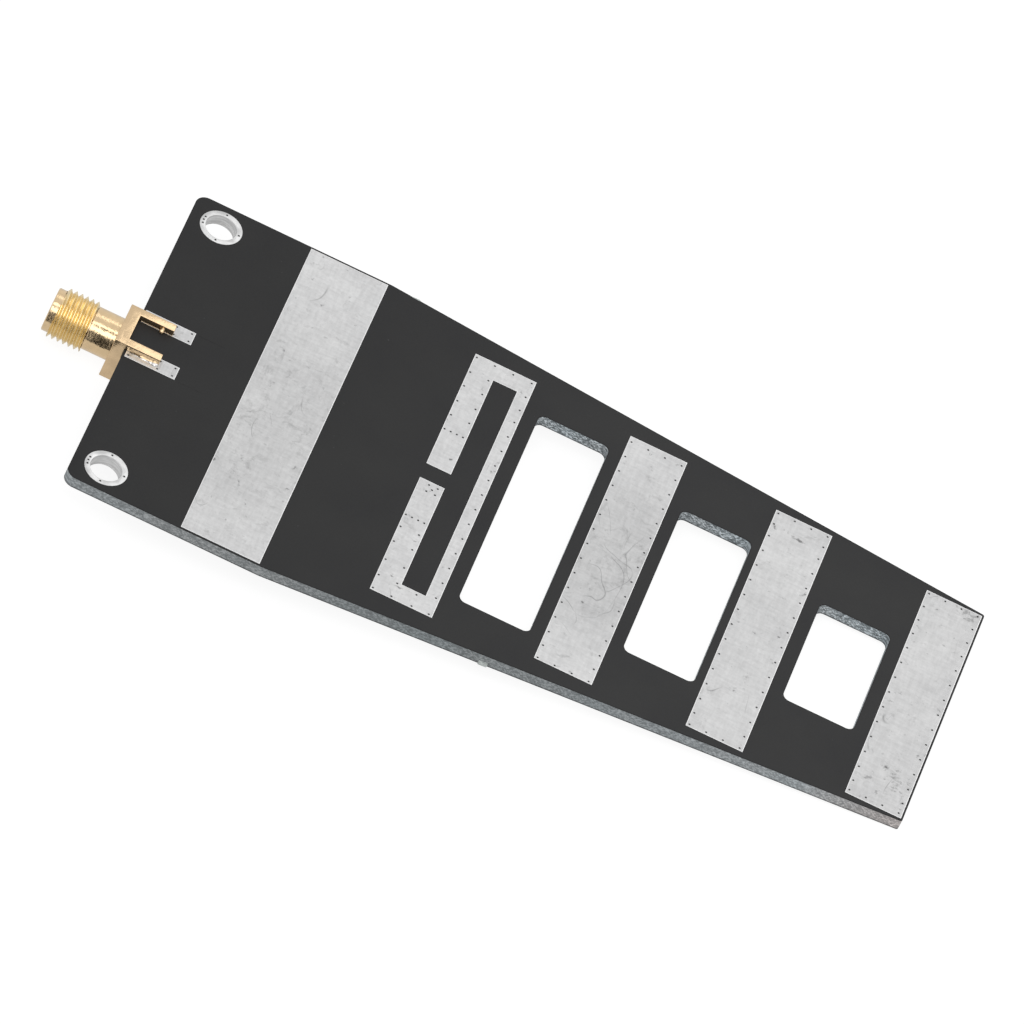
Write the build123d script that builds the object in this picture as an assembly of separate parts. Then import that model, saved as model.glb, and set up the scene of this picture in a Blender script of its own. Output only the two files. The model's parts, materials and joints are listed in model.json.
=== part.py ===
from build123d import *
import os

# Directional printed circuit antenna with an edge mounted coaxial jack.
# Millimetres. +X runs along the board from the jack to the last director, +Y across
# it and +Z out of its upper face. The origin is midway between the two mounting holes,
# on the outer face of the lower solder mask.

# Board outline, measured from the edge that carries the jack
board_length = 105.0
board_width = 51.6
tip_width = 36.9
taper_start = 25.2
corner_radius = 1.4
tip_radius = 0.3

# Layers, from the laminate outwards
laminate_thickness = 1.5
tin_thickness = 0.05
mask_thickness = 0.03
mask_gap = 0.06
edge_pullback = 0.1

# Mounting holes, with plated walls and a pad on both faces
hole_setback = 4.04
hole_side_gap = 3.66
hole_diameter = 3.9
hole_pad_diameter = 5.3

# Reflector, on the upper face only
reflector_start = 14.72
reflector_length = 10.06
reflector_side_gap = 0.3

# Folded driven element
driven_start = 37.54
driven_length = 7.96
driven_side_gap = 2.53
slot_start = 40.72
slot_length = 3.1
slot_span = 37.2
feed_gap = 2.55
lower_arm_gap = 15.0

# Directors: gap beyond the last one, how far each lies from an even spacing, length along
# X, and gap between their far corners and the side of the board
director_end_gap = 0.25
director_shift = [0.35, -0.24, 0.0]
director_length = [7.4, 7.3, 7.2]
director_side_gap = [1.98, 0.89, 0.37]

# Windows through the board, each with a web of board before and after it
window_near_web = [1.91, 1.65, 1.81]
window_far_web = [1.65, 1.02, 1.84]
window_span = [33.6, 25.3, 17.0]
window_radius = 0.9

# Pads under the jack's upper legs, and the feed line on the lower face
pad_start = 0.3
pad_length = 6.45
pad_width = 2.15
pad_spacing = 6.35
feed_width = 2.9
feed_tab_length = 3.4

# Jack: square flange with four legs, and a stepped turned barrel
flange_side = 6.5
flange_thickness = 1.5
flange_edge = 0.15
leg_length = 4.35
leg_width = 1.1
leg_edge = 0.12
barrel_length = 8.42
lip_length = 0.97
thread_length = 4.15
thread_diameter = 6.35
lip_diameter = 5.4
neck_diameter = 5.4
thread_chamfer = 0.3
mouth_diameter = 4.6
mouth_depth = 1.93
bore_clearance = 0.01

# Insulator and centre contact
insulator_diameter = 4.1
insulator_recess = 0.05
insulator_step = 0.3
contact_diameter = 1.27
socket_diameter = 0.94
socket_depth = 3.2
socket_recess = 0.1
slit_width = 0.16
slit_length = 2.2
tail_length = 4.0
tail_clearance = 0.13

# Solder joints: fillets along the outer feet of the upper legs, and round the pin's tail
solder_height = 0.4
solder_width = 0.75
solder_length = 3.6
solder_tail = 0.75
solder_toe = 0.6

# Worked out from the sizes above
lower_tin_z = mask_thickness - tin_thickness
laminate_z = mask_thickness
upper_z = laminate_z + laminate_thickness
upper_tin_z = upper_z + tin_thickness
hole_spacing = board_width - 2 * hole_side_gap
axis_z = lower_tin_z - tail_clearance - contact_diameter / 2
feed_reach = feed_gap / 2 + feed_tab_length


def along(distance):
    """X of a point measured from the board's jack edge."""
    return distance - hole_setback


def board_width_at(distance):
    """Width of the board at a distance from the jack edge."""
    share = (distance - taper_start) / (board_length - taper_start)
    return board_width - (board_width - tip_width) * max(share, 0)


def element_span(end, side_gap):
    """Span of an element whose far corners stop short of the board's sides by a gap."""
    return board_width_at(end) - 2 * side_gap


def director_end(number):
    """Distance of a director's far edge; number 0 is the driven element."""
    first = driven_start + driven_length
    if number == 0:
        return first
    pitch = (board_length - director_end_gap - first) / len(director_length)
    return first + number * pitch + director_shift[number - 1]


def directors():
    """Start, length and span of each director."""
    rows = []
    for number, length in enumerate(director_length, 1):
        end = director_end(number)
        rows.append((end - length, length, element_span(end, director_side_gap[number - 1])))
    return rows


def plate(start, length, span, z, thickness, y=0.0):
    """Flat rectangle that starts at a distance from the jack edge and is centred on y."""
    centre = (along(start) + length / 2, y, z + thickness / 2)
    return Pos(*centre) * Box(length, span, thickness)


def outline():
    """Board outline: straight sides near the jack, then an even taper to the tip."""
    side_y, tip_y = board_width / 2, tip_width / 2
    x0, x1, x2 = along(0), along(taper_start), along(board_length)
    points = [(x0, -side_y), (x1, -side_y), (x2, -tip_y), (x2, tip_y), (x1, side_y), (x0, side_y)]
    face = make_face(Polyline(*points, close=True))
    face = fillet(face.vertices().sort_by(Axis.X)[:2], corner_radius)
    return fillet(face.vertices().sort_by(Axis.X)[-2:], tip_radius)


def board_plate(z, thickness, pullback=0.0):
    """Solid plate of the board's outline, smaller all round by the pullback."""
    face = outline()
    if pullback:
        face = offset(face, -pullback)
    return Pos(0, 0, z) * extrude(face, thickness)


def windows(z, thickness, grow=0.0):
    """Cutting tools for the three windows."""
    tools = []
    for number, (director_start, _, _) in enumerate(directors()):
        start = director_end(number) + window_near_web[number]
        length = director_start - window_far_web[number] - start
        face = RectangleRounded(length + 2 * grow, window_span[number] + 2 * grow, window_radius + grow)
        tools.append(Pos(along(start) + length / 2, 0, z) * extrude(face, thickness))
    return tools


def at_holes(shape):
    """A copy of a shape at each mounting hole."""
    return [Pos(0, side * hole_spacing / 2, 0) * shape for side in (1, -1)]


def disc(diameter, z, thickness):
    """Cylinder that stands on z."""
    return Pos(0, 0, z + thickness / 2) * Cylinder(diameter / 2, thickness)


driven_span = element_span(driven_start + driven_length, driven_side_gap)
reflector_span = board_width - 2 * reflector_side_gap


def driven_outline(z, thickness, arm_gap):
    """Folded element: a frame with a slot, and a break in the arm that faces the jack."""
    frame = plate(driven_start, driven_length, driven_span, z, thickness)
    frame -= plate(slot_start, slot_length, slot_span, z, thickness)
    arm_width = slot_start - driven_start
    return frame - plate(driven_start, arm_width, arm_gap, z, thickness)


def pad_solids(z, thickness):
    """The two pads under or over the jack's legs, the +Y one first."""
    pads = []
    for side in (1, -1):
        pads.append(plate(pad_start, pad_length, pad_width, z, thickness, side * pad_spacing / 2))
    return pads


def feed_line(z, thickness, grow=0.0):
    """Line from the jack's centre pin to the far arm of the driven element."""
    run_length = slot_start - pad_start + 2 * grow
    run = plate(pad_start - grow, run_length, feed_width + 2 * grow, z, thickness)
    tab_length = slot_start - driven_start + 2 * grow
    tab_y = -feed_reach / 2
    tab = plate(driven_start - grow, tab_length, feed_reach + 2 * grow, z, thickness, tab_y)
    return run + tab


def upper_tin():
    """Tinned areas of the upper face, by node name."""
    z, t = upper_z, tin_thickness
    parts = {
        "reflector": plate(reflector_start, reflector_length, reflector_span, z, t),
        "driven_element_top": driven_outline(z, t, feed_gap),
    }
    for number, sizes in enumerate(directors(), 1):
        parts[f"director_{number}_top"] = plate(*sizes, z, t)
    parts["ground_pad_left"], parts["ground_pad_right"] = pad_solids(z, t)
    return parts


def lower_tin():
    """Tinned areas of the lower face, by node name."""
    z, t = lower_tin_z, tin_thickness
    parts = {"driven_element_bottom": driven_outline(z, t, lower_arm_gap)}
    for number, sizes in enumerate(directors(), 1):
        parts[f"director_{number}_bottom"] = plate(*sizes, z, t)
    left, right = pad_solids(z, t)
    parts["lower_pad_left"], parts["lower_pad_right"] = left, right
    parts["feed_line"] = feed_line(z, t)
    return parts


def laminate():
    """Glass fibre board with its windows and mounting holes."""
    body = board_plate(laminate_z, laminate_thickness)
    body -= windows(laminate_z, laminate_thickness)
    return body - at_holes(disc(hole_diameter + 2 * tin_thickness, laminate_z, laminate_thickness))


def mask_openings(z, upper):
    """Openings in a solder mask round each tinned area, wider by the mask gap."""
    t, g = mask_thickness, mask_gap
    tools = []
    rows = directors() + [(driven_start, driven_length, driven_span)]
    if upper:
        rows.append((reflector_start, reflector_length, reflector_span))
    for start, length, span in rows:
        tools.append(plate(start - g, length + 2 * g, span + 2 * g, z, t))
    for side in (1, -1):
        y = side * pad_spacing / 2
        tools.append(plate(pad_start - g, pad_length + 2 * g, pad_width + 2 * g, z, t, y))
    if not upper:
        tools.append(feed_line(z, t, g))
    return tools


def mask_islands(z, upper):
    """Mask that fills the slot and the gap inside the driven element."""
    t, g = mask_thickness, mask_gap
    gap = feed_gap if upper else lower_arm_gap
    slot = plate(slot_start + g, slot_length - 2 * g, slot_span - 2 * g, z, t)
    arm = slot_start - driven_start
    bridge = plate(driven_start - g, arm + 3 * g, gap - 2 * g, z, t)
    island = slot + bridge
    return island if upper else island - feed_line(z, t, g)


def solder_mask(z, upper):
    """One face's solder mask, pulled back a little from every routed edge."""
    mask = board_plate(z, mask_thickness, edge_pullback)
    mask -= windows(z, mask_thickness, edge_pullback)
    mask -= at_holes(disc(hole_pad_diameter + 2 * mask_gap, z, mask_thickness))
    mask -= mask_openings(z, upper)
    return mask + mask_islands(z, upper)


def hole_plating():
    """Plated wall of a mounting hole with its pad on each face."""
    height = laminate_thickness + 2 * tin_thickness
    eyelet = disc(hole_diameter + 2 * tin_thickness, lower_tin_z, height)
    for z in (lower_tin_z, upper_z):
        eyelet += disc(hole_pad_diameter, z, tin_thickness)
    return eyelet - disc(hole_diameter, lower_tin_z, height)


def revolved(points):
    """Solid of revolution about the jack's axis, from (distance from the edge, radius)."""
    face = make_face(Polyline(*[(x, 0, r) for x, r in points], close=True))
    solid = revolve(face, Axis.X)
    return Pos(along(0), 0, axis_z) * solid


def jack_front():
    """Distance of the jack's mating end from the board edge, negative outside the board."""
    return -(flange_thickness + barrel_length)


def jack_barrel():
    """Turned barrel: plain lip, threaded length and plain neck."""
    front = jack_front()
    thread_front = front + lip_length
    thread_back = thread_front + thread_length
    crest, lip, neck = thread_diameter / 2, lip_diameter / 2, neck_diameter / 2
    points = [
        (front, 0),
        (front, lip - flange_edge),
        (front + flange_edge, lip),
        (thread_front, lip),
        (thread_front + thread_chamfer, crest),
        (thread_back - thread_chamfer, crest),
        (thread_back, neck),
        (-flange_thickness, neck),
        (-flange_thickness, 0),
    ]
    return revolved(points)


def jack_flange():
    """Square flange with broken edges, and two rows of legs that grip the board."""
    centre = along(-flange_thickness / 2)
    flange = Pos(centre, 0, axis_z) * Box(flange_thickness, flange_side, flange_side)
    flange = fillet(flange.edges().filter_by(Axis.X), flange_edge)
    rows = [(upper_tin_z, axis_z + flange_side / 2), (axis_z - flange_side / 2, lower_tin_z)]
    for low, high in rows:
        for side in (1, -1):
            place = Pos(along(leg_length / 2), side * (flange_side - leg_width) / 2, (low + high) / 2)
            leg = place * Box(leg_length, leg_width, high - low)
            tip = leg.faces().sort_by(Axis.X)[-1]
            flange += chamfer(tip.edges(), leg_edge)
    return flange


def jack_bore():
    """Stepped bore: a wide mouth for the mating plug, then the insulator's seat."""
    front = jack_front()
    seat = insulator_diameter / 2 + bore_clearance
    points = [
        (front, 0),
        (front, mouth_diameter / 2),
        (front + mouth_depth, mouth_diameter / 2),
        (front + mouth_depth, seat),
        (0, seat),
        (0, 0),
    ]
    return revolved(points)


def jack_body():
    """Flange, legs and barrel, machined from one piece."""
    return jack_barrel() + jack_flange() - jack_bore()


def jack_insulator():
    """Plastic bead that holds the centre contact, with a stepped front face."""
    front = jack_front() + mouth_depth + insulator_recess
    hole = contact_diameter / 2
    outer = insulator_diameter / 2
    points = [
        (front, hole),
        (front, outer - insulator_step),
        (front + insulator_step, outer),
        (0, outer),
        (0, hole),
    ]
    return revolved(points)


def jack_contact():
    """Centre contact: slotted socket at the front, and a tail that lies on the feed line."""
    front = jack_front() + mouth_depth + socket_recess
    outer, hole = contact_diameter / 2, socket_diameter / 2
    points = [
        (front, hole),
        (front, outer),
        (tail_length, outer),
        (tail_length, 0),
        (front + socket_depth, 0),
        (front + socket_depth, hole),
    ]
    contact = revolved(points)
    slit = Box(slit_length, 2 * contact_diameter, slit_width)
    at_front = Pos(along(front + slit_length / 2), 0, axis_z)
    contact -= at_front * slit
    return contact - at_front * Rot(90, 0, 0) * slit


def leg_solder(side):
    """Fillet of solder along the outer foot of an upper leg, up to the leg's rounded end."""
    foot_y = side * flange_side / 2
    points = [(foot_y, 0), (foot_y + side * solder_width, 0), (foot_y, solder_height)]
    profile = make_face(Polyline(*points, close=True))
    start = along(leg_length - leg_edge - solder_length)
    plane = Plane(origin=(start, 0, upper_tin_z), x_dir=(0, 1, 0), z_dir=(1, 0, 0))
    return extrude(plane * profile, solder_length)


def tail_solder():
    """Solder on both sides and at the end of the tail, where it lies on the feed line."""
    r = contact_diameter / 2
    spread = r + solder_tail
    depth = lower_tin_z - axis_z
    points = [(-spread, 0), (spread, 0), (r / 2, -depth), (-r / 2, -depth)]
    profile = make_face(Polyline(*points, close=True))
    plane = Plane(origin=(along(pad_start), 0, lower_tin_z), x_dir=(0, 1, 0), z_dir=(1, 0, 0))
    heap = extrude(plane * profile, tail_length - pad_start + solder_toe)
    tail = Pos(along(tail_length / 2), 0, axis_z) * Rot(0, 90, 0) * Cylinder(r, tail_length)
    return heap - tail


def write(name, shape):
    """One file for each sub-part."""
    export_step(shape, os.path.join("parts", f"{name}.step"))


def main():
    os.makedirs("parts", exist_ok=True)
    nodes = {
        "laminate": laminate(),
        "solder_mask_top": solder_mask(upper_z, True),
        "solder_mask_bottom": solder_mask(0.0, False),
        "jack_body": jack_body(),
        "jack_insulator": jack_insulator(),
        "jack_contact": jack_contact(),
        "solder_pin": tail_solder(),
    }
    nodes.update(upper_tin())
    nodes.update(lower_tin())
    for name, side in (("left", 1), ("right", -1)):
        nodes[f"solder_{name}"] = leg_solder(side)
    for name, eyelet in zip(("left", "right"), at_holes(hole_plating())):
        nodes[f"hole_plating_{name}"] = eyelet
    for name, shape in nodes.items():
        write(name, shape)


main()
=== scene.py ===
import json
import math

import bpy
from mathutils import Matrix, Vector


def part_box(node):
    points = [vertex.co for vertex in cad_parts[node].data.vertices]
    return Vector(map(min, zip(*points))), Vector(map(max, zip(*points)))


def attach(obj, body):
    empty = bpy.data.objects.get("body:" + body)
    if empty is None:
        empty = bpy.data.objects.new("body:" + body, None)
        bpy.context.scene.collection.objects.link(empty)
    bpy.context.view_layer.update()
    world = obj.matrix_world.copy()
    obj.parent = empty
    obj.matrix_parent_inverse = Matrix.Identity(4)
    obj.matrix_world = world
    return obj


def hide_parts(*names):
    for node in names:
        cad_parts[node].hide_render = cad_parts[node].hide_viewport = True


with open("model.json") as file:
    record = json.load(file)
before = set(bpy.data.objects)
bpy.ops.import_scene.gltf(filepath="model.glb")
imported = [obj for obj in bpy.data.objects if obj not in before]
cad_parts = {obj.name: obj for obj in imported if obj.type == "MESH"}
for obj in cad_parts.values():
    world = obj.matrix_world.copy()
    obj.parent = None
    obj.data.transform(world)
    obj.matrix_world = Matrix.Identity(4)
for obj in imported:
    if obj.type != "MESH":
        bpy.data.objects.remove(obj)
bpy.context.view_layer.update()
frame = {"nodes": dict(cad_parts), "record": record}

# Millimetres are used for every size below, and MM turns them into metres
MM = 0.001

# Places along the board are measured from its jack edge, which lies at this X
board_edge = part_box("laminate")[0][0] / MM
top_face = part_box("reflector")[1][2] / MM
lower_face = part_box("director_3_bottom")[0][2] / MM
mask_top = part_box("solder_mask_top")[1][2] / MM
mask_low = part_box("solder_mask_bottom")[0][2] / MM
board_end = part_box("laminate")[1][0] / MM

# Board outline, the windows' reach from the middle line, and the height of the edge's pattern
board_half_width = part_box("laminate")[1][1] / MM
taper_start = 25.2
tip_width = 36.9
window_reach = 17.1
ply_height = 1.6

# Jack
jack_low, jack_high = [[c / MM for c in corner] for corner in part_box("jack_body")]
axis_z = (jack_low[2] + jack_high[2]) / 2
flange_side = jack_high[1] - jack_low[1]
flange_thickness = 1.5
flange_edge = 0.09
leg_root = 0.8
leg_length = jack_high[0] - board_edge
leg_width = 1.1
barrel_front = jack_low[0]
lip_length = 0.97
lip_radius = 2.7
neck_radius = 2.7
thread_length = 4.15
thread_pitch = 0.7056
thread_crest = 3.175
thread_root = 2.72
thread_flat = 0.06
thread_phase = 0.16
core_radius = 2.6
mouth_radius = 2.3
mouth_depth = 1.93
bore_radius = 2.06
turned_edge = 0.12
turning_steps = 96

# Tinned areas
tin_rim = 0.075
tin_crown = 0.004

# Lines of copper that show under the mask beyond the pads
relief_start = 7.2
relief_end = 10.4
relief_side = 4.2
relief_width = 0.2
relief_height = 0.012

# Plated vias
via_radius = 0.13
via_rim = 0.05
via_inset = 0.43
via_lift = 0.02
ring_shift = 0.05
hole_via_reach = 2.29


def edge_x(distance):
    """X in millimetres of a point measured from the jack edge of the board."""
    return board_edge + distance


def clear_selection():
    """Leaves object mode with nothing selected."""
    if bpy.context.object and bpy.context.object.mode != "OBJECT":
        bpy.ops.object.mode_set(mode="OBJECT")
    bpy.ops.object.select_all(action="DESELECT")


def name_active(name):
    """Names the new object and its mesh."""
    piece = bpy.context.object
    piece.name = name
    piece.data.name = name
    return piece


def pick(piece):
    """Selects one piece alone and makes it active."""
    clear_selection()
    piece.select_set(True)
    bpy.context.view_layer.objects.active = piece


def settle(piece):
    """Puts the object's place into its mesh, so that the object sits at the origin."""
    pick(piece)
    bpy.ops.object.transform_apply(location=True, rotation=True, scale=True)
    return piece


def join(pieces, name):
    """Joins finished pieces into the first of them."""
    clear_selection()
    for piece in pieces:
        piece.select_set(True)
    bpy.context.view_layer.objects.active = pieces[0]
    bpy.ops.object.join()
    pieces[0].name = name
    pieces[0].data.name = name
    return pieces[0]


def copy_of(piece, name):
    """A copy of a piece, with a mesh of its own."""
    clone = piece.copy()
    clone.data = piece.data.copy()
    clone.name = name
    bpy.context.collection.objects.link(clone)
    return clone


def edit(piece):
    """Opens a piece in edit mode with nothing in it selected."""
    pick(piece)
    bpy.ops.object.mode_set(mode="EDIT")
    bpy.ops.mesh.select_mode(type="VERT")
    bpy.ops.mesh.select_all(action="DESELECT")


def edit_all(piece):
    """Opens a piece in edit mode with all of it selected."""
    edit(piece)
    bpy.ops.mesh.select_all(action="SELECT")


def tidy_mesh(piece, merge=0.0005):
    """Merges doubles and turns the faces outwards."""
    edit_all(piece)
    bpy.ops.mesh.remove_doubles(threshold=merge * MM)
    bpy.ops.mesh.normals_make_consistent(inside=False)
    bpy.ops.object.mode_set(mode="OBJECT")
    return piece


def smooth(piece, angle):
    """Smooth shading, with edges sharper than the angle kept."""
    pick(piece)
    bpy.ops.object.shade_smooth_by_angle(angle=math.radians(angle))


def bevelled(piece, width, segments=3, angle=30):
    """Rounds the piece's edges with an applied bevel."""
    pick(piece)
    bevel = piece.modifiers.new("edge", "BEVEL")
    bevel.width = width * MM
    bevel.segments = segments
    bevel.limit_method = "ANGLE"
    bevel.angle_limit = math.radians(angle)
    bpy.ops.object.modifier_apply(modifier=bevel.name)
    return piece


def carve(piece, tool, operation):
    """Adds a tool to a piece or cuts it away, and removes the tool."""
    modifier = piece.modifiers.new("carve", "BOOLEAN")
    modifier.operation = operation
    modifier.solver = "EXACT"
    modifier.object = tool
    pick(piece)
    bpy.ops.object.modifier_apply(modifier=modifier.name)
    bpy.data.objects.remove(tool)
    return piece


def block(name, low, high):
    """Box between two corners, in millimetres."""
    clear_selection()
    centre = [(a + b) / 2 * MM for a, b in zip(low, high)]
    size = [(b - a) * MM for a, b in zip(low, high)]
    bpy.ops.mesh.primitive_cube_add(size=1, location=centre)
    piece = name_active(name)
    piece.scale = size
    return settle(piece)


# Material helpers

def new_material(name):
    """Empty principled material, with its tree and shader."""
    material = bpy.data.materials.new(name)
    material.use_nodes = True
    tree = material.node_tree
    return material, tree, tree.nodes["Principled BSDF"]


def node(tree, kind, **settings):
    """Node with some of its own settings changed."""
    made = tree.nodes.new(kind)
    for key, value in settings.items():
        setattr(made, key, value)
    return made


def coordinates(tree, scale=(1, 1, 1), turn=0.0):
    """Object coordinates in millimetres, stretched and turned about Z."""
    place = node(tree, "ShaderNodeTexCoord")
    mapping = node(tree, "ShaderNodeMapping")
    mapping.inputs["Scale"].default_value = [s / MM for s in scale]
    mapping.inputs["Rotation"].default_value = (0, 0, math.radians(turn))
    tree.links.new(place.outputs["Object"], mapping.inputs["Vector"])
    return mapping.outputs["Vector"]


def noise(tree, vector, scale, detail=2.0, rough=0.5, distortion=0.0):
    """Noise factor."""
    made = node(tree, "ShaderNodeTexNoise")
    made.inputs["Scale"].default_value = scale
    made.inputs["Detail"].default_value = detail
    made.inputs["Roughness"].default_value = rough
    made.inputs["Distortion"].default_value = distortion
    tree.links.new(vector, made.inputs["Vector"])
    return made.outputs["Fac"]


def ramp(tree, factor, stops):
    """Colour ramp from (place, grey or colour) stops."""
    made = node(tree, "ShaderNodeValToRGB")
    elements = made.color_ramp.elements
    while len(elements) < len(stops):
        elements.new(0.5)
    for element, (place, colour) in zip(elements, stops):
        element.position = place
        grey = isinstance(colour, (int, float))
        element.color = (colour, colour, colour, 1) if grey else (*colour, 1)
    tree.links.new(factor, made.inputs["Fac"])
    return made.outputs["Color"]


def blend(tree, kind, factor, first, second):
    """Mix of two colours; each may be a socket or a value."""
    made = node(tree, "ShaderNodeMix", data_type="RGBA", blend_type=kind)
    for key, value in ((0, factor), (6, first), (7, second)):
        if hasattr(value, "links"):
            tree.links.new(value, made.inputs[key])
        elif key == 0:
            made.inputs[key].default_value = value
        else:
            made.inputs[key].default_value = (*value, 1)
    return made.outputs[2]


def math_node(tree, operation, first, second=0.0):
    """Arithmetic on two values; each may be a socket or a number."""
    made = node(tree, "ShaderNodeMath", operation=operation)
    for key, value in ((0, first), (1, second)):
        if hasattr(value, "links"):
            tree.links.new(value, made.inputs[key])
        else:
            made.inputs[key].default_value = value
    return made.outputs[0]


def paint(tree, shader, colour, rough, metal=0.0):
    """Sets a shader's colour, its roughness (a socket or a number) and how metallic it is."""
    tree.links.new(colour, shader.inputs["Base Color"])
    if hasattr(rough, "links"):
        tree.links.new(rough, shader.inputs["Roughness"])
    else:
        shader.inputs["Roughness"].default_value = rough
    shader.inputs["Metallic"].default_value = metal


def bump(tree, shader, height, strength, distance):
    """Bump from a height, with its distance in millimetres."""
    made = node(tree, "ShaderNodeBump")
    made.inputs["Strength"].default_value = strength
    made.inputs["Distance"].default_value = distance * MM
    tree.links.new(height, made.inputs["Height"])
    tree.links.new(made.outputs["Normal"], shader.inputs["Normal"])


def along_board(tree):
    """Place along the board's length, from 0 to 1."""
    place = node(tree, "ShaderNodeTexCoord")
    split = node(tree, "ShaderNodeSeparateXYZ")
    tree.links.new(place.outputs["Object"], split.inputs[0])
    return math_node(tree, "DIVIDE", split.outputs["X"], board_end * MM)


def near_spot(tree, x, y, reach):
    """Factor that falls from 1 at a spot on the board to 0 at the reach, in millimetres."""
    place = node(tree, "ShaderNodeTexCoord")
    away = node(tree, "ShaderNodeVectorMath", operation="DISTANCE")
    tree.links.new(place.outputs["Object"], away.inputs[0])
    away.inputs[1].default_value = (edge_x(x) * MM, y * MM, top_face * MM)
    share = math_node(tree, "DIVIDE", away.outputs["Value"], reach * MM)
    return ramp(tree, share, [(0.0, 1.0), (1.0, 0.0)])


def solder_mask_finish():
    """Matt black solder mask with a faint grain and pale specks of dust."""
    material, tree, shader = new_material("matt_black_mask")
    place = coordinates(tree)
    cloud = noise(tree, place, 0.12, 3)
    grain = noise(tree, place, 6.0, 3, 0.7)
    base = ramp(tree, cloud, [(0.3, (0.023, 0.023, 0.024)), (0.7, (0.028, 0.028, 0.028))])
    base = blend(tree, "MULTIPLY", 1.0, base, ramp(tree, along_board(tree), [(0.1, 0.72), (0.6, 1.0)]))
    speck = ramp(tree, noise(tree, place, 1.9, 1), [(0.78, 0.0), (0.82, 1.0)])
    colour = blend(tree, "MIX", math_node(tree, "MULTIPLY", speck, 0.2), base, (0.12, 0.12, 0.12))
    paint(tree, shader, colour, ramp(tree, grain, [(0.3, 0.58), (0.7, 0.68)]))
    shader.inputs["Specular IOR Level"].default_value = 0.25
    bump(tree, shader, grain, 0.12, 0.02)
    return material


def tin_finish():
    """Levelled tin: pale grey, with the board's weave, dark smudges and hair scratches."""
    material, tree, shader = new_material("levelled_tin")
    place = coordinates(tree)
    cloud = noise(tree, place, 0.13, 4, 0.6)
    fine = noise(tree, place, 2.6, 3, 0.7)
    tone = ramp(tree, cloud, [(0.3, (0.62, 0.62, 0.623)), (0.7, (0.70, 0.70, 0.70))])
    tone = blend(tree, "MULTIPLY", 0.8, tone, ramp(tree, fine, [(0.3, 0.86), (0.66, 1.0)]))
    for scale in ((2.4, 0.5, 1), (0.5, 2.4, 1)):
        thread = noise(tree, coordinates(tree, scale), 1.0, 2)
        tone = blend(tree, "MULTIPLY", 0.6, tone, ramp(tree, thread, [(0.35, 0.88), (0.62, 1.0)]))
    worn_director = near_spot(tree, 62.5, -1, 17)
    worn_reflector = near_spot(tree, 18, -6, 24)
    worn = math_node(tree, "MAXIMUM", worn_director, worn_reflector)
    tone = blend(tree, "MULTIPLY", 1.0, tone, ramp(tree, worn, [(0.0, 1.0), (0.6, 0.89)]))
    tone = blend(tree, "MULTIPLY", 1.0, tone, ramp(tree, along_board(tree), [(0.3, 1.0), (1.0, 0.88)]))
    smudge = noise(tree, place, 0.5, 4, 0.75, 0.6)
    smudge = math_node(tree, "ADD", smudge, math_node(tree, "MULTIPLY", worn, 0.08))
    tone = blend(tree, "MULTIPLY", 0.8, tone, ramp(tree, smudge, [(0.60, 1.0), (0.74, 0.72)]))
    lines = scratches(tree)
    tone = blend(tree, "MULTIPLY", 0.75, tone, ramp(tree, lines, [(0.0, 1.0), (1.0, 0.45)]))
    near_corner = near_spot(tree, 103, -14.5, 6)
    far_corner = near_spot(tree, 103.4, 17.5, 3)
    corners = math_node(tree, "MAXIMUM", near_corner, far_corner)
    smoke = noise(tree, place, 0.9, 3, 0.7)
    smoke = math_node(tree, "ADD", smoke, math_node(tree, "MULTIPLY", corners, 0.15))
    tone = blend(tree, "MULTIPLY", 0.8, tone, ramp(tree, smoke, [(0.64, 1.0), (0.74, 0.55)]))
    dots = noise(tree, place, 0.9, 1)
    tone = blend(tree, "MULTIPLY", 0.8, tone, ramp(tree, dots, [(0.77, 1.0), (0.80, 0.45)]))
    paint(tree, shader, tone, ramp(tree, fine, [(0.3, 0.42), (0.7, 0.52)]), 0.85)
    bump(tree, shader, math_node(tree, "SUBTRACT", fine, lines), 0.25, 0.01)
    return material


def rim_highlight_finish():
    """Tin of the rounded rim of each area, painted brighter as the rim's highlight."""
    material, tree, shader = new_material("tin_rim")
    cloud = noise(tree, coordinates(tree), 1.5, 3)
    paint(tree, shader, ramp(tree, cloud, [(0.3, 0.72), (0.7, 0.84)]), 0.4, 0.7)
    return material


def scratches(tree):
    """Thin bent lines, thickest on the first director, as a factor."""
    total = None
    worn = near_spot(tree, 62.5, -2, 16)
    turns_scales_widths = ((23, 0.13, 0.004), (97, 0.19, 0.005), (118, 0.15, 0.004), (171, 0.26, 0.006))
    for turn, scale, width in turns_scales_widths:
        field = noise(tree, coordinates(tree, (1, 0.6, 1), turn), scale, 0.6, 0.4)
        away = math_node(tree, "ABSOLUTE", math_node(tree, "SUBTRACT", field, 0.5))
        line = ramp(tree, away, [(0.0, 1.0), (width, 0.0)])
        patch = noise(tree, coordinates(tree, turn=turn + 40), 0.2, 1)
        patch = math_node(tree, "ADD", patch, math_node(tree, "MULTIPLY", worn, 0.2))
        piece = math_node(tree, "MULTIPLY", line, ramp(tree, patch, [(0.64, 0.0), (0.74, 1.0)]))
        total = piece if total is None else math_node(tree, "MAXIMUM", total, piece)
    return total


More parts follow.
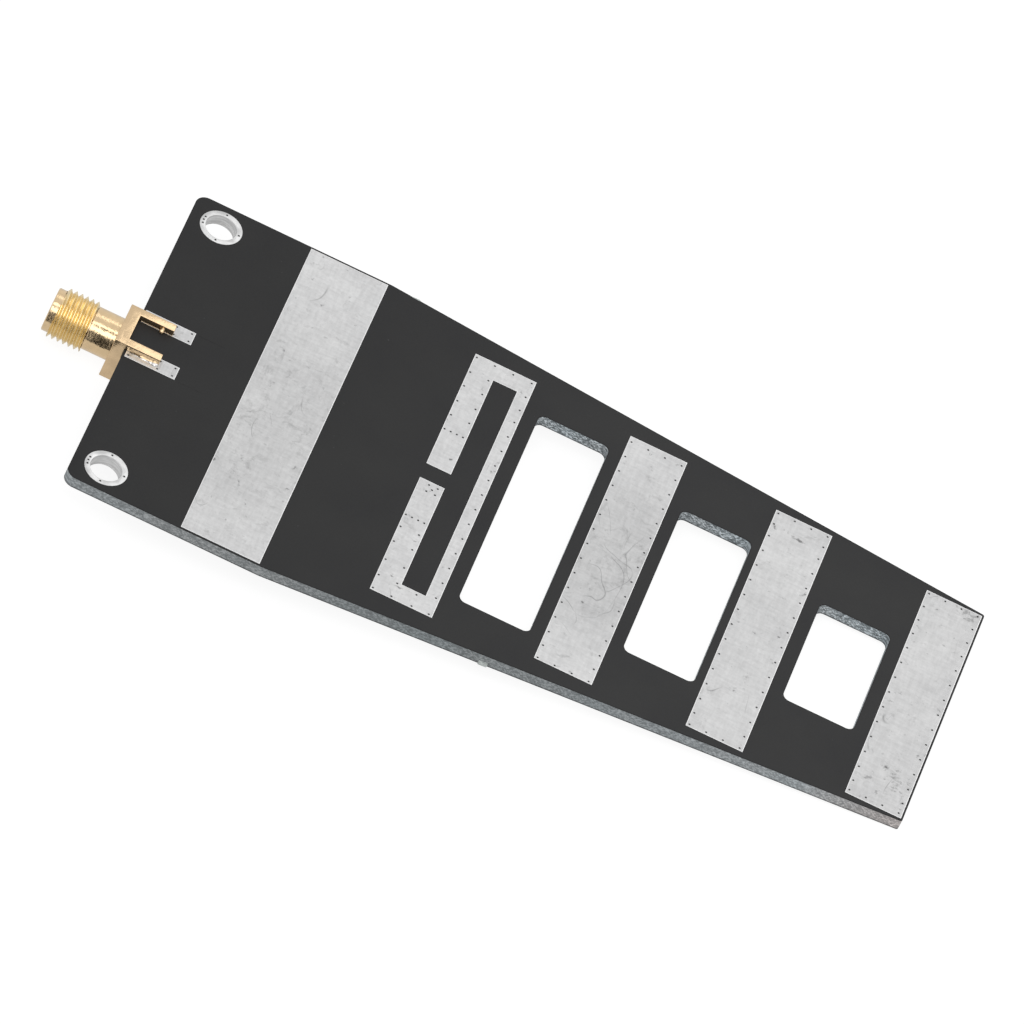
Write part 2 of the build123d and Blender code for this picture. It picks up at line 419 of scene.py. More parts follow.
def ply_pattern(tree, slant):
    """Bundles of glass cut at a slant, over (X + Y, Z): their random greys, their edges and the height."""
    place = node(tree, "ShaderNodeTexCoord")
    split = node(tree, "ShaderNodeSeparateXYZ")
    tree.links.new(place.outputs["Object"], split.inputs[0])
    flat = node(tree, "ShaderNodeCombineXYZ")
    tree.links.new(math_node(tree, "ADD", split.outputs["X"], split.outputs["Y"]), flat.inputs["X"])
    tree.links.new(split.outputs["Z"], flat.inputs["Y"])
    turned = node(tree, "ShaderNodeMapping")
    turned.inputs["Rotation"].default_value = (0, 0, math.radians(slant))
    tree.links.new(flat.outputs[0], turned.inputs["Vector"])
    stretched = node(tree, "ShaderNodeMapping")
    stretched.inputs["Scale"].default_value = (3.0 / MM, 7.5 / MM, 1)
    tree.links.new(turned.outputs["Vector"], stretched.inputs["Vector"])
    cells = node(tree, "ShaderNodeTexVoronoi")
    cells.inputs["Scale"].default_value = 1.0
    tree.links.new(stretched.outputs["Vector"], cells.inputs["Vector"])
    grey = node(tree, "ShaderNodeSeparateColor")
    tree.links.new(cells.outputs["Color"], grey.inputs["Color"])
    return grey.outputs[0], cells.outputs["Distance"], split.outputs["Z"]


def laminate_finish():
    """Routed glass fibre edge with its slanted bundles; its flat faces are painted near black as the shade
    under the mask's edge, its foot carries a darker strip that is partly the lower mask's edge and partly
    painted shade, and the walls inside the windows are painted lighter to offset the shade there.
    """
    material, tree, shader = new_material("glass_fibre_edge")
    place = coordinates(tree)
    first, first_edge, height = ply_pattern(tree, 32)
    second, _, _ = ply_pattern(tree, -32)
    bundles = math_node(tree, "MULTIPLY", math_node(tree, "ADD", first, second), 0.5)
    side = ramp(tree, bundles, [(0.22, (0.095, 0.104, 0.108)), (0.5, (0.225, 0.24, 0.247)),
                                (0.78, (0.54, 0.56, 0.57))])
    dust = ramp(tree, noise(tree, place, 3.0, 3, 0.7), [(0.35, 0.75), (0.6, 1.0)])
    side = blend(tree, "MULTIPLY", 0.7, side, dust)
    tint = ramp(tree, noise(tree, place, 0.10, 1), [(0.35, (0.94, 1.0, 1.02)), (0.65, (1.0, 0.99, 0.98))])
    side = blend(tree, "MULTIPLY", 1.0, side, tint)
    ends = ramp(tree, along_board(tree), [(0.1, (1.06, 1.06, 1.06)), (0.4, (0.84, 0.86, 0.86)),
                                          (0.7, (1.08, 1.09, 1.10)), (0.88, (1.36, 1.36, 1.37)),
                                          (1.0, (1.80, 1.56, 1.48))])
    split_place = node(tree, "ShaderNodeSeparateXYZ")
    tree.links.new(place, split_place.inputs[0])
    # Walls inside the windows are painted lighter: painted light that offsets the shade falling inside the
    # windows.
    from_middle = math_node(tree, "ABSOLUTE", split_place.outputs["Y"])
    inside = math_node(tree, "LESS_THAN", from_middle, window_reach)
    ends = blend(tree, "MIX", inside, ends, (1.46, 1.48, 1.51))
    outside = math_node(tree, "MULTIPLY", math_node(tree, "SUBTRACT", 1.0, inside), 0.5)
    side = blend(tree, "MIX", outside, side, (0.24, 0.255, 0.262))
    side = blend(tree, "MULTIPLY", 1.0, side, ends)
    # Darker strip along the foot of the edge: partly the lower mask's edge, partly painted shade.
    mask_edge_and_shade = ramp(tree, math_node(tree, "DIVIDE", height, ply_height * MM), [(0.07, 0.25), (0.16, 1.0)])
    side = blend(tree, "MULTIPLY", 1.0, side, mask_edge_and_shade)
    # Faces that look up or down are painted near black: painted shade under the mask's edge, seen as a
    # dark outline.
    normal = node(tree, "ShaderNodeNewGeometry")
    split = node(tree, "ShaderNodeSeparateXYZ")
    tree.links.new(normal.outputs["True Normal"], split.inputs[0])
    flat = math_node(tree, "GREATER_THAN", math_node(tree, "ABSOLUTE", split.outputs["Z"]), 0.7)
    colour = blend(tree, "MIX", flat, side, (0.010, 0.010, 0.010))
    paint(tree, shader, colour, 0.75)
    bump(tree, shader, first_edge, 0.5, 0.05)
    return material


def burr_finish():
    """Pale frayed glass where the board was snapped from its panel."""
    material, tree, shader = new_material("frayed_glass")
    fibres = noise(tree, coordinates(tree), 4.0, 3, 0.7)
    tone = ramp(tree, fibres, [(0.3, (0.32, 0.35, 0.34)), (0.7, (0.66, 0.70, 0.68))])
    paint(tree, shader, tone, 0.8)
    return material


def gold_finish(name, colour, rough, mottling):
    """Gold plate, with a faint unevenness that breaks up its reflections."""
    material, tree, shader = new_material(name)
    place = coordinates(tree)
    cloud = noise(tree, place, 0.8, 3, 0.6)
    darker = tuple(0.86 * c for c in colour)
    tone = ramp(tree, cloud, [(0.3, darker), (0.7, colour)])
    fine = noise(tree, place, 3.0, 3, 0.6)
    paint(tree, shader, tone, ramp(tree, fine, [(0.3, rough), (0.7, rough + 0.08)]), 1.0)
    bump(tree, shader, fine, mottling, 0.03)
    return material


def insulator_finish():
    """White fluoropolymer with a waxy face and fine turning marks."""
    material, tree, shader = new_material("white_fluoropolymer")
    place = coordinates(tree)
    cloud = noise(tree, place, 1.4, 3)
    tone = ramp(tree, cloud, [(0.3, (0.74, 0.74, 0.72)), (0.7, (0.82, 0.82, 0.80))])
    paint(tree, shader, tone, 0.45)
    bump(tree, shader, noise(tree, place, 5.0, 2), 0.1, 0.01)
    return material


def solder_finish():
    """Bright reflowed solder, smooth with a slightly rippled skin."""
    material, tree, shader = new_material("bright_solder")
    place = coordinates(tree)
    ripple = noise(tree, place, 1.6, 2, 0.5)
    tone = ramp(tree, ripple, [(0.3, (0.70, 0.68, 0.66)), (0.7, (0.86, 0.85, 0.84))])
    paint(tree, shader, tone, 0.2, 1.0)
    bump(tree, shader, ripple, 0.5, 0.05)
    return material


def plating_finish():
    """Tinned hole wall, with the rings that the drill left round it."""
    material, tree, shader = new_material("plated_hole_wall")
    marks = noise(tree, coordinates(tree, (0.12, 0.12, 1)), 4.5, 2)
    paint(tree, shader, ramp(tree, marks, [(0.35, 0.60), (0.65, 0.80)]), 0.4, 0.6)
    bump(tree, shader, marks, 0.4, 0.03)
    return material


def via_finish():
    """Shadowed inside of a plated via."""
    material, tree, shader = new_material("via_shadow")
    grain = noise(tree, coordinates(tree), 8.0, 1)
    paint(tree, shader, ramp(tree, grain, [(0.3, 0.012), (0.7, 0.03)]), 0.8)
    return material


mask_material = solder_mask_finish()
tin_material = tin_finish()
rim_highlight_material = rim_highlight_finish()
burr_material = burr_finish()
laminate_material = laminate_finish()
gold_material = gold_finish("pale_gold_plate", (0.79, 0.585, 0.36), 0.15, 0.7)
barrel_material = gold_finish("barrel_gold", (0.84, 0.63, 0.38), 0.1, 0.7)
# The thread's gold is the barrel's plating painted lighter, as a painted highlight on its flanks.
thread_material = gold_finish("thread_gold", (0.95, 0.77, 0.45), 0.22, 0.5)
contact_material = gold_finish("contact_gold", (0.83, 0.64, 0.33), 0.25, 0.1)
insulator_material = insulator_finish()
solder_material = solder_finish()
plating_material = plating_finish()
via_material = via_finish()


def dress(piece, material):
    """Gives every slot of a piece one material."""
    piece.data.materials.clear()
    piece.data.materials.append(material)


def dress_cad_nodes():
    """Materials for the pieces whose shape is the CAD model's."""
    by_slot = {
        "laminate": laminate_material,
        "solder_mask": mask_material,
        "tinned_copper": tin_material,
        "gold_plate": gold_material,
        "gold_contact": contact_material,
        "insulator": insulator_material,
        "solder": solder_material,
    }
    for row in frame["record"]["subparts"]:
        piece = frame["nodes"][row["node"]]
        dress(piece, by_slot[row["material_slot"]])
    for side in ("left", "right"):
        dress(frame["nodes"][f"hole_plating_{side}"], plating_material)


dress_cad_nodes()


# Pieces that start from a merged copy of a CAD node

def copy_of_node(node_name, name):
    """Merged copy of a CAD node, with a mesh of its own."""
    piece = bpy.data.objects.new(name, frame["nodes"][node_name].data.copy())
    piece.data.name = name
    piece.data.materials.clear()
    bpy.context.collection.objects.link(piece)
    return tidy_mesh(piece)


def select_faces(piece, wanted):
    """Selects, from object mode, the faces that a test accepts."""
    edit(piece)
    bpy.ops.mesh.select_mode(type="FACE")
    bpy.ops.object.mode_set(mode="OBJECT")
    for face in piece.data.polygons:
        face.select = wanted(face)
    bpy.ops.object.mode_set(mode="EDIT")


def rimmed_tin(node_name, up):
    """Tinned area whose outer face rises a little inside a narrow rim that is painted bright as a
    highlight.
    """
    piece = copy_of_node(node_name, f"{node_name}_skin")
    piece.data.materials.append(tin_material)
    piece.data.materials.append(rim_highlight_material)
    # Every face first takes the rim's painted highlight; the raised middle then takes plain tin again.
    select_faces(piece, lambda face: True)
    piece.active_material_index = 1
    bpy.ops.object.material_slot_assign()
    select_faces(piece, lambda face: face.normal.z * up > 0.9)
    bpy.ops.mesh.dissolve_limited(angle_limit=math.radians(2))
    bpy.ops.mesh.inset(thickness=tin_rim * MM, depth=tin_crown * MM)
    piece.active_material_index = 0
    bpy.ops.object.material_slot_assign()
    bpy.ops.object.mode_set(mode="OBJECT")
    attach(piece, "root")
    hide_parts(node_name)


def softened(node_name, width, material):
    """Turned or plated piece with its edges rounded and its curves smooth."""
    piece = copy_of_node(node_name, f"{node_name}_finish")
    edit_all(piece)
    bpy.ops.mesh.dissolve_limited(angle_limit=math.radians(0.5))
    bpy.ops.object.mode_set(mode="OBJECT")
    bevelled(piece, width, 2, 50)
    smooth(piece, 40)
    dress(piece, material)
    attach(piece, "root")
    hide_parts(node_name)


def build_tin():
    """Every tinned area of both faces."""
    for row in frame["record"]["subparts"]:
        name = row["node"]
        if row["material_slot"] == "tinned_copper" and not name.startswith("hole_plating"):
            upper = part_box(name)[1][2] / MM > top_face / 2
            rimmed_tin(name, 1 if upper else -1)


build_tin()
for side_name in ("left", "right"):
    softened(f"hole_plating_{side_name}", 0.05, plating_material)
softened("jack_insulator", 0.08, insulator_material)


# Jack body

def lathe(name, outline):
    """Closed solid of revolution about the jack's axis, from (x, radius) in millimetres."""
    clear_selection()
    bpy.ops.mesh.primitive_circle_add(vertices=turning_steps, radius=1, rotation=(0, math.pi / 2, 0))
    piece = settle(name_active(name))
    first_x, first_r = outline[0]
    edit_all(piece)
    bpy.ops.transform.resize(value=(1, first_r * MM, first_r * MM), center_override=(0, 0, 0))
    bpy.ops.transform.translate(value=(first_x * MM, 0, axis_z * MM))
    x, r = first_x, first_r
    for next_x, next_r in outline[1:]:
        bpy.ops.mesh.extrude_region_move(TRANSFORM_OT_translate={"value": ((next_x - x) * MM, 0, 0)})
        grow = next_r / r
        bpy.ops.transform.resize(value=(1, grow, grow), center_override=(next_x * MM, 0, axis_z * MM))
        x, r = next_x, next_r
    bpy.ops.object.mode_set(mode="OBJECT")
    return tidy_mesh(piece)


def jack_core():
    """Barrel without its thread: lip, thread core and neck, with the stepped bore."""
    front, thread = barrel_front, barrel_front + lip_length
    back = edge_x(-flange_thickness)
    neck = thread + thread_length
    seat = front + mouth_depth
    outline = [
        (seat, bore_radius),
        (seat, mouth_radius),
        (front + turned_edge, mouth_radius),
        (front, mouth_radius + turned_edge),
        (front, lip_radius - turned_edge),
        (front + turned_edge, lip_radius),
        (thread - 0.02, lip_radius),
        (thread, core_radius),
        (neck, core_radius),
        (neck + 0.05, neck_radius),
        (back + 0.2, neck_radius),
        (edge_x(-0.05), neck_radius),
        (edge_x(-0.05), bore_radius),
        (seat, bore_radius),
    ]
    return lathe("jack_barrel", outline)


def wound_thread(turns):
    """Ridge of the thread: the profile of one tooth, from root to root, wound into a helix."""
    flank = (thread_pitch - 2 * thread_flat) / 2
    rise = thread_crest - thread_root
    steps = [(flank, rise), (thread_flat, 0), (flank, -rise), (thread_flat, 0)]
    clear_selection()
    bpy.ops.mesh.primitive_plane_add(size=0.1 * MM)
    piece = name_active("jack_thread")
    edit_all(piece)
    bpy.ops.mesh.merge(type="CENTER")
    bpy.ops.transform.translate(value=(0, 0, thread_root * MM))
    for dx, dr in steps:
        bpy.ops.mesh.extrude_region_move(TRANSFORM_OT_translate={"value": (dx * MM, 0, dr * MM)})
    bpy.ops.object.mode_set(mode="OBJECT")
    screw = piece.modifiers.new("helix", "SCREW")
    screw.axis = "X"
    screw.screw_offset = thread_pitch * MM
    screw.iterations = turns
    screw.steps = turning_steps
    screw.render_steps = turning_steps
    screw.use_merge_vertices = True
    screw.merge_threshold = 0.001 * MM
    bpy.ops.object.modifier_apply(modifier=screw.name)
    return piece


def jack_thread():
    """Helical thread, wound longer than needed and then cut square at both ends."""
    start = barrel_front + lip_length
    turns = math.ceil(thread_length / thread_pitch) + 3
    piece = wound_thread(turns)
    piece.location = ((start - (2 - thread_phase) * thread_pitch) * MM, 0, axis_z * MM)
    settle(piece)
    edit(piece)
    for x, outer, inner in ((start, False, True), (start + thread_length, True, False)):
        bpy.ops.mesh.select_all(action="SELECT")
        bpy.ops.mesh.bisect(plane_co=(x * MM, 0, axis_z * MM), plane_no=(1, 0, 0), use_fill=True,
                            clear_outer=outer, clear_inner=inner)
    bpy.ops.object.mode_set(mode="OBJECT")
    tidy_mesh(piece, 0.0001)
    clear_selection()
    bpy.ops.mesh.primitive_cylinder_add(vertices=turning_steps, radius=(core_radius - 0.08) * MM,
                                        depth=2 * thread_length * MM,
                                        location=((start + thread_length / 2) * MM, 0, axis_z * MM),
                                        rotation=(0, math.pi / 2, 0))
    return carve(piece, settle(name_active("thread_bore")), "DIFFERENCE")


def jack_legs():
    """Blanks of two rows of legs, flush with the flange, that grip the board."""
    half = flange_side / 2
    rows = ((top_face, axis_z + half), (axis_z - half, lower_face))
    legs = []
    for side in (1, -1):
        for low, high in rows:
            y0, y1 = sorted((side * half, side * (half - leg_width)))
            legs.append(block("jack_leg", (edge_x(-leg_root), y0, low), (edge_x(leg_length), y1, high)))
    return legs


def jack_flange():
    """Square flange and its four legs, milled from one block, with broken edges."""
    half = flange_side / 2
    low = (edge_x(-flange_thickness), -half, axis_z - half)
    high = (edge_x(0), half, axis_z + half)
    flange = block("jack_flange", low, high)
    for leg in jack_legs():
        carve(flange, leg, "UNION")
    return bevelled(flange, flange_edge, 3)


def build_jack():
    """The jack's body, joined from its barrel, thread, flange and legs."""
    pieces = [jack_core(), jack_thread(), jack_flange()]
    for piece, material in zip(pieces, (barrel_material, thread_material, gold_material)):
        dress(piece, material)
    jack = join(pieces, "jack_shell")
    smooth(jack, 30)
    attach(jack, "root")
    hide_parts("jack_body")


build_jack()


# Solder joints and small marks

def melt(name, drops, planes, material):
    """Solder that flowed together from drops (place, then radii), cut flat where it meets other pieces."""
    parts = []
    for x, y, z, *radii in drops:
        clear_selection()
        bpy.ops.mesh.primitive_uv_sphere_add(segments=32, ring_count=16, radius=1,
                                             location=(edge_x(x) * MM, y * MM, z * MM))
        drop = name_active(name)
        drop.scale = [r * MM for r in radii]
        parts.append(settle(drop))
    piece = join(parts, name)
    flow = piece.modifiers.new("flow", "REMESH")
    flow.mode = "VOXEL"
    flow.voxel_size = 0.045 * MM
    bpy.ops.object.modifier_apply(modifier=flow.name)
    relax = piece.modifiers.new("relax", "SMOOTH")
    relax.factor = 0.7
    relax.iterations = 8
    bpy.ops.object.modifier_apply(modifier=relax.name)
    edit(piece)
    for place, direction in planes:
        bpy.ops.mesh.select_all(action="SELECT")
        bpy.ops.mesh.bisect(plane_co=[c * MM for c in place], plane_no=direction, use_fill=True,
                            clear_outer=True)
    bpy.ops.object.mode_set(mode="OBJECT")
    tidy_mesh(piece, 0.0001)
    smooth(piece, 50)
    dress(piece, material)
    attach(piece, "root")
    return piece


def leg_solder(side):
    """Low fillet along the foot of an upper leg, with a fat drop near the leg's end."""
    foot = side * flange_side / 2
    drops = [
        (1.5, foot, top_face, 0.9, 0.26, 0.10),
        (2.6, foot, top_face, 1.1, 0.30, 0.13),
        (3.9, foot, top_face, 0.45, 0.50, 0.30),
        (3.4, foot, top_face, 0.4, 0.36, 0.18),
    ]
    planes = [((0, 0, top_face), (0, 0, -1)), ((0, foot, 0), (0, -side, 0))]
    name = "left" if side > 0 else "right"
    joint = melt(f"leg_solder_{name}", drops, planes, solder_material)
    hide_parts(f"solder_{name}")


def pin_solder():
    """Mound of solder that the pin's tail lies in, on the lower face."""
    drops = [
        (1.6, 0, lower_face, 1.25, 1.1, 0.6),
        (2.7, 0, lower_face, 1.4, 1.25, 0.7),
        (3.5, 0, lower_face, 1.05, 1.0, 0.55),
    ]
    joint = melt("pin_solder", drops, [((0, 0, lower_face), (0, 0, 1))], solder_material)
    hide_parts("solder_pin")


def leg_bead():
    """Two beads of plating metal that cling to the inner face of the +Y leg."""
    inner = flange_side / 2 - leg_width
    drops = [
        (3.05, inner - 0.06, top_face + 0.42, 0.23, 0.22, 0.24),
        (3.0, inner - 0.2, top_face + 0.16, 0.34, 0.34, 0.32),
    ]
    planes = [((0, 0, top_face - 0.02), (0, 0, -1)), ((0, inner, 0), (0, 1, 0))]
    bead = melt("leg_bead", drops, planes, gold_material)


def break_off_nub(name, start, length, side, proud, wedge, high):
    """Stub left on a side of the board where it was snapped from its panel."""
    slope = (board_half_width - tip_width / 2) / (board_end - edge_x(taper_start))
    low = mask_low + 0.02
    middle = start + length / 2
    edge_y = board_half_width - slope * max(middle - taper_start, 0)
    y0, y1 = sorted((side * (edge_y - 0.3), side * (edge_y + proud)))
    nub = block(name, (edge_x(start), y0, low), (edge_x(start + length), y1, high))
    edit_all(nub)
    bpy.ops.transform.rotate(value=side * (math.atan(slope) - wedge), orient_axis="Z",
                             center_override=(edge_x(middle) * MM, side * edge_y * MM, 0))
    bpy.ops.object.mode_set(mode="OBJECT")
    bevelled(nub, 0.1, 2)
    dress(nub, burr_material)
    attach(nub, "root")


def trace_relief(side):
    """Copper edge that shows faintly through the mask beyond a pad."""
    y = side * relief_side
    low = (edge_x(relief_start), y - relief_width / 2, mask_top - 0.01)
    high = (edge_x(relief_end), y + relief_width / 2, mask_top + relief_height)
    strip = block("trace_relief", low, high)
    bevelled(strip, 0.004, 2)
    dress(strip, mask_material)
    strip.name = "trace_relief_left" if side > 0 else "trace_relief_right"
    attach(strip, "root")


for joint_side in (1, -1):
    leg_solder(joint_side)
    trace_relief(joint_side)
pin_solder()
leg_bead()
break_off_nub("nub_left", start=27.4, length=1.6, side=1, proud=0.1, wedge=0.14, high=mask_top - 0.02)
break_off_nub("nub_right", start=52.5, length=1.15, side=-1, proud=0.26, wedge=0.0, high=0.55)


# Plated vias

def via_model():
    """One via: a low plated rim round a shallow dish painted dark as the hole's shadow."""
    clear_selection()
    rim = (via_radius + via_rim) * MM
    bpy.ops.mesh.primitive_circle_add(vertices=16, radius=rim, fill_type="NGON")
    piece = name_active("via")
    piece.data.materials.append(tin_material)
    piece.data.materials.append(via_material)
    edit(piece)
    bpy.ops.mesh.select_mode(type="FACE")
    bpy.ops.mesh.select_all(action="SELECT")
    bpy.ops.mesh.inset(thickness=via_rim * 0.5 * MM)
    bpy.ops.transform.translate(value=(0, 0, via_lift * MM))
    bpy.ops.mesh.inset(thickness=via_rim * 0.5 * MM)
    piece.active_material_index = 1
    bpy.ops.object.material_slot_assign()
    bpy.ops.mesh.inset(thickness=0.03 * MM)
    bpy.ops.transform.translate(value=(0, 0, -0.6 * via_lift * MM))
    bpy.ops.object.mode_set(mode="OBJECT")
    return piece


def element_box(name):
    """Edges of an element: x0, x1, y0, y1 in millimetres."""
    low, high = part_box(name)
    return low[0] / MM, high[0] / MM, low[1] / MM, high[1] / MM


def spaced(start, end, count):
    """Evenly spaced places from start to end."""
    return [start + (end - start) * k / (count - 1) for k in range(count)]


def steps_down(start, step, count):
    """Evenly stepped places that go down from a start."""
    return [start - step * k for k in range(count)]


def ring_of_vias(name, ys, across_count):
    """Vias round the edge of a plain element: two rows at the given Ys and two along X."""
    x0, x1, _, _ = element_box(name)
    x0, x1 = x0 + via_inset - ring_shift, x1 - via_inset - ring_shift
    rows = [(x, y) for x in (x0, x1) for y in ys]
    columns = [(x, y) for y in (ys[0], ys[-1]) for x in spaced(x0, x1, across_count)[1:-1]]
    return rows + columns


def driven_vias():
    """Vias of the driven element: round its rim, along the slot and across its arms."""
    x0, x1, _, _ = element_box("driven_element_top")
    x_out, x_in, x_far = x0 + via_inset - 0.13, edge_x(40.21), x1 - via_inset - 0.06
    left_arm = (7.7, 10.28, 12.85, 15.6, 18.15, 20.86)
    right_arm = (-7.94, -10.08, -12.74, -16.0, -18.76, -21.07)
    far_row = [20.87, 18.32, 15.9] + steps_down(13.67, 2.658, 13) + [-21.1]
    places = [(x_far, y) for y in far_row]
    for arm in (left_arm, right_arm):
        places += [(x, y) for x in (x_out, x_in) for y in arm]
        places += [(x, arm[0]) for x in spaced(x_out, x_in, 4)[1:-1]]
    places += [(edge_x(42.6), 20.86), (edge_x(42.8), -21.1), (edge_x(42.8), -19.1)]
    cluster_x, cluster_y, reach = edge_x(39.45), -2.44, 0.56
    places.append((cluster_x, cluster_y))
    for dx in (-1, 1):
        places += [(cluster_x + dx * reach, cluster_y + dy * reach) for dy in (-1, 1)]
    return places


def pad_vias(side):
    """Vias at the corners of a pad under one of the jack's legs."""
    x0, x1, y0, y1 = element_box("ground_pad_left" if side > 0 else "ground_pad_right")
    xs = (x0 + 0.35, x0 + 4.1, x1 - via_inset)
    return [(x, y) for x in xs for y in (y0 + 0.4, y1 - 0.4)]


def hole_vias(side):
    """Vias in the pad round a mounting hole."""
    x0, x1, y0, y1 = element_box("hole_plating_left" if side > 0 else "hole_plating_right")
    centre_x, centre_y = (x0 + x1) / 2, (y0 + y1) / 2
    turns = [math.radians(turn) for turn in (0, 90, 270, 180, 166, 194)]
    return [(centre_x + hole_via_reach * math.cos(turn), centre_y + hole_via_reach * math.sin(turn))
            for turn in turns]


def place_vias(name, places):
    """Copies of the via on both faces, joined into one piece."""
    model = via_model()
    copies = []
    for x, y in places:
        for z, flip in ((top_face, False), (lower_face, True)):
            clone = copy_of(model, "via_copy")
            if flip:
                clone.rotation_euler = (math.pi, 0, 0)
            clone.location = (x * MM, y * MM, z * MM)
            copies.append(clone)
    bpy.data.objects.remove(model)
    piece = settle(join(copies, name))
    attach(piece, "root")


def build_vias():
    """Vias of every element and pad."""
    rows = {
        "director_1": steps_down(19.18, 2.648, 14) + [-17.65, -19.82],
        "director_2": [18.95, 17.05] + steps_down(14.89, 2.672, 12) + [-17.03, -19.05],
        "director_3": [17.66, 15.32, 12.9, 10.43] + steps_down(7.86, 2.652, 9) + [-15.8, -17.47],
    }
    for name, ys in rows.items():
        place_vias(f"{name}_vias", ring_of_vias(f"{name}_top", ys, 4))
    place_vias("driven_element_vias", driven_vias())
    for name, side in (("left", 1), ("right", -1)):
        place_vias(f"pad_vias_{name}", pad_vias(side))
        place_vias(f"hole_vias_{name}", hole_vias(side))


build_vias()


# Floor, lights and camera

def build_floor():
    """White floor under the jack's lower edge and the far end of the board, which keeps their shadow."""
    paper_level, paper_to_camera, paper_share = 0.78, 0.35, 0.8
    drop_to_jack = lower_face - jack_low[2]
    run = board_end - edge_x(leg_length)
    clear_selection()
    bpy.ops.mesh.primitive_plane_add(size=6)
    floor = name_active("floor")
    floor.rotation_euler = (0, -math.atan2(drop_to_jack, run), 0)
    floor.location = (board_end * MM, 0, (lower_face - 0.05) * MM)
    material, tree, shader = new_material("white_floor")
    shader.inputs["Base Color"].default_value = (0.85, 0.85, 0.85, 1)
    shader.inputs["Roughness"].default_value = 0.9
    shader.inputs["Specular IOR Level"].default_value = 0.0
    paper = node(tree, "ShaderNodeEmission")
    paper.inputs["Color"].default_value = (1, 1, 1, 1)
    mix = node(tree, "ShaderNodeMixShader")
    light_path = node(tree, "ShaderNodeLightPath")
    white = math_node(tree, "MULTIPLY", light_path.outputs["Is Camera Ray"], paper_to_camera)
    tree.links.new(math_node(tree, "ADD", white, paper_level), paper.inputs["Strength"])
    camera_ray, glossy_ray = light_path.outputs["Is Camera Ray"], light_path.outputs["Is Glossy Ray"]
    seen = math_node(tree, "MAXIMUM", camera_ray, glossy_ray)
    tree.links.new(math_node(tree, "MULTIPLY", seen, paper_share), mix.inputs["Fac"])
    tree.links.new(shader.outputs["BSDF"], mix.inputs[1])
    tree.links.new(paper.outputs["Emission"], mix.inputs[2])
    tree.links.new(mix.outputs["Shader"], tree.nodes["Material Output"].inputs["Surface"])
    floor.data.materials.append(material)


def area_light(name, place, aim, size, power):
    """Soft square lamp that points at a place."""
    lamp = bpy.data.lights.new(name, "AREA")
    lamp.size = size
    lamp.energy = power
    holder = bpy.data.objects.new(name, lamp)
    holder.location = place
    holder.rotation_euler = (Vector(aim) - Vector(place)).to_track_quat("-Z", "Y").to_euler()
    bpy.context.collection.objects.link(holder)


def dark_card(name, corners, light, grain):
    """Black card beside the set, seen only in reflections: (x, x), (y, z) and (y, z) in millimetres."""
    clear_selection()
    (x0, x1), (y0, z0), (y1, z1) = corners
    bpy.ops.mesh.primitive_plane_add(size=MM)
    card = name_active(name)
    card.scale = (x1 - x0, math.hypot(y1 - y0, z1 - z0), 1)
    card.rotation_euler = (math.atan2(z1 - z0, y1 - y0), 0, 0)
    card.location = ((x0 + x1) / 2 * MM, (y0 + y1) / 2 * MM, (z0 + z1) / 2 * MM)
    settle(card)
    material, tree, shader = new_material(name)
    patches = noise(tree, coordinates(tree), grain, 3)
    paint(tree, shader, ramp(tree, patches, [(0.45, 0.01), (0.62, light)]), 0.9)
    card.data.materials.append(material)
    card.visible_camera = False
    card.visible_diffuse = False
    card.visible_shadow = False


def build_cards():
    """Cards that the barrel's lip and neck mirror as dark bands, clear of the thread."""
    thread_end = barrel_front + lip_length + thread_length
    neck = (thread_end - 0.2, edge_x(-0.9))
    lip = (barrel_front - 3, barrel_front + lip_length)
    for name, span in (("neck", neck), ("lip", lip)):
        dark_card(f"{name}_card", (span, (-20, -3.5), (-20, 14)), 0.06, 0.6)
        dark_card(f"{name}_low_card", (span, (-9.6, -3.5), (-20, -3.5)), 0.06, 0.6)
        dark_card(f"{name}_high_card", (span, (-13.5, 21.5), (-9.5, 24.5)), 0.4, 1.0)


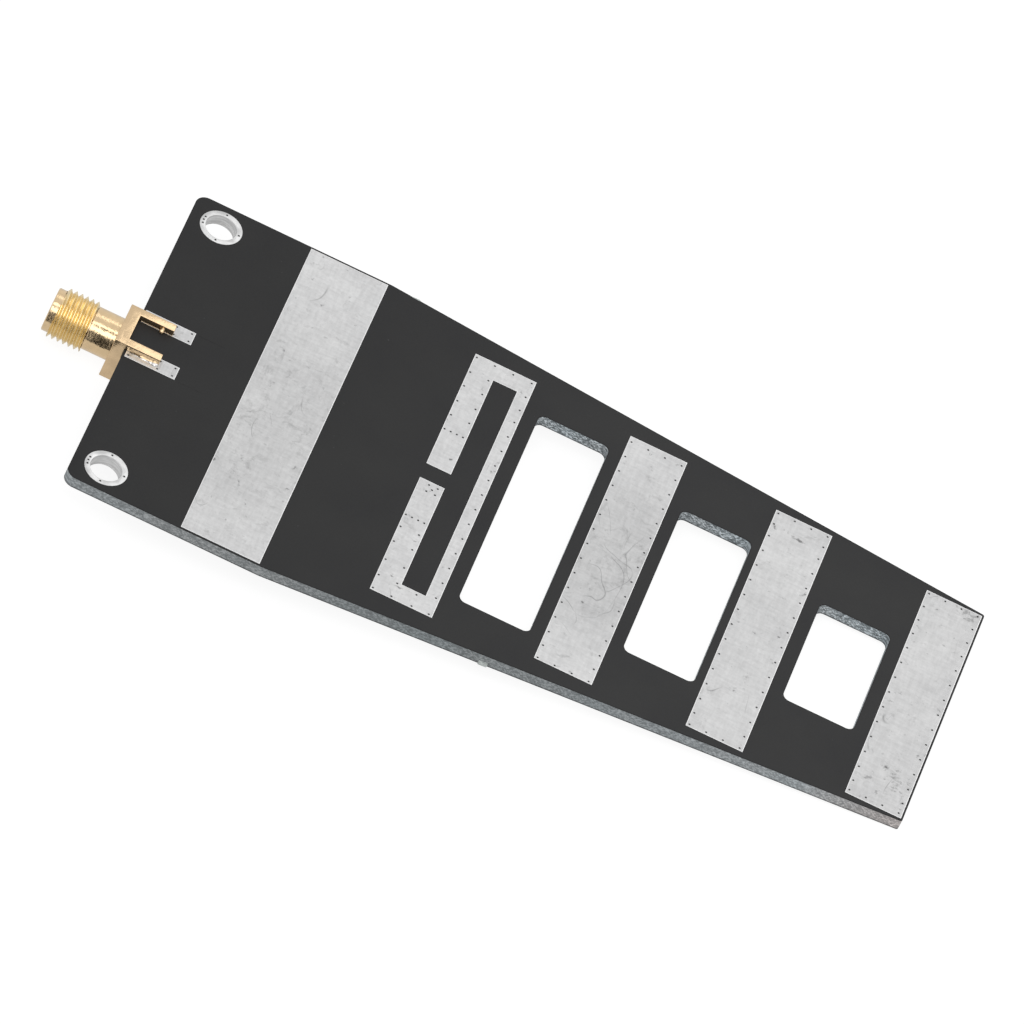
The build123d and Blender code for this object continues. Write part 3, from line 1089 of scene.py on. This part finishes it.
def build_world():
    """Even white surroundings, brighter to the camera and in reflections than as light."""
    plain_level, to_camera, in_mirrors = 0.55, 0.45, 0.3
    world = bpy.data.worlds.new("studio")
    bpy.context.scene.world = world
    world.use_nodes = True
    back = world.node_tree.nodes["Background"]
    back.inputs["Color"].default_value = (1, 1, 1, 1)
    tree = world.node_tree
    light_path = node(tree, "ShaderNodeLightPath")
    mirrored = math_node(tree, "MULTIPLY", light_path.outputs["Is Glossy Ray"], in_mirrors)
    seen = math_node(tree, "MULTIPLY", light_path.outputs["Is Camera Ray"], to_camera)
    level = math_node(tree, "ADD", math_node(tree, "MAXIMUM", mirrored, seen), plain_level)
    tree.links.new(level, back.inputs["Strength"])


def build_camera():
    """Camera at the photograph's viewing angle, with its roll and its long focal length."""
    elevation, azimuth, roll = math.radians(44.67), math.radians(-2.12), math.radians(26.931)
    focal_pixels, frame_pixels, pixels_per_mm = 13591.0, 1024.0, 8.5538
    right_pixels, down_pixels = 22.93, 10.96
    aim = Vector((edge_x(52.0), 0, top_face))
    back = Vector((math.sin(azimuth) * math.cos(elevation), -math.cos(azimuth) * math.cos(elevation),
                   math.sin(elevation)))
    level = Vector((0, 0, 1)).cross(back).normalized()
    upright = back.cross(level)
    right = math.cos(roll) * level + math.sin(roll) * upright
    up = -math.sin(roll) * level + math.cos(roll) * upright
    distance = focal_pixels / pixels_per_mm
    aim_right, aim_down = right_pixels / pixels_per_mm, down_pixels / pixels_per_mm
    place = aim + back * distance - right * aim_right + up * aim_down
    lens = bpy.data.cameras.new("camera")
    lens.sensor_width = 36
    lens.lens = focal_pixels / frame_pixels * lens.sensor_width
    lens.clip_start = 0.05
    lens.clip_end = 20
    camera = bpy.data.objects.new("camera", lens)
    turn = Matrix((right, up, back)).transposed().to_4x4()
    camera.matrix_world = Matrix.Translation(place * MM) @ turn
    bpy.context.collection.objects.link(camera)
    bpy.context.scene.camera = camera


build_floor()
build_world()
build_camera()
build_cards()
area_light("key", (-0.05, -0.5, 0.8), (0.0, 0, 0), 0.85, 3.4)
area_light("fill", (0.45, 0.6, 0.8), (0.05, 0, 0), 0.9, 2.2)

bpy.context.scene.view_settings.view_transform = "Standard"
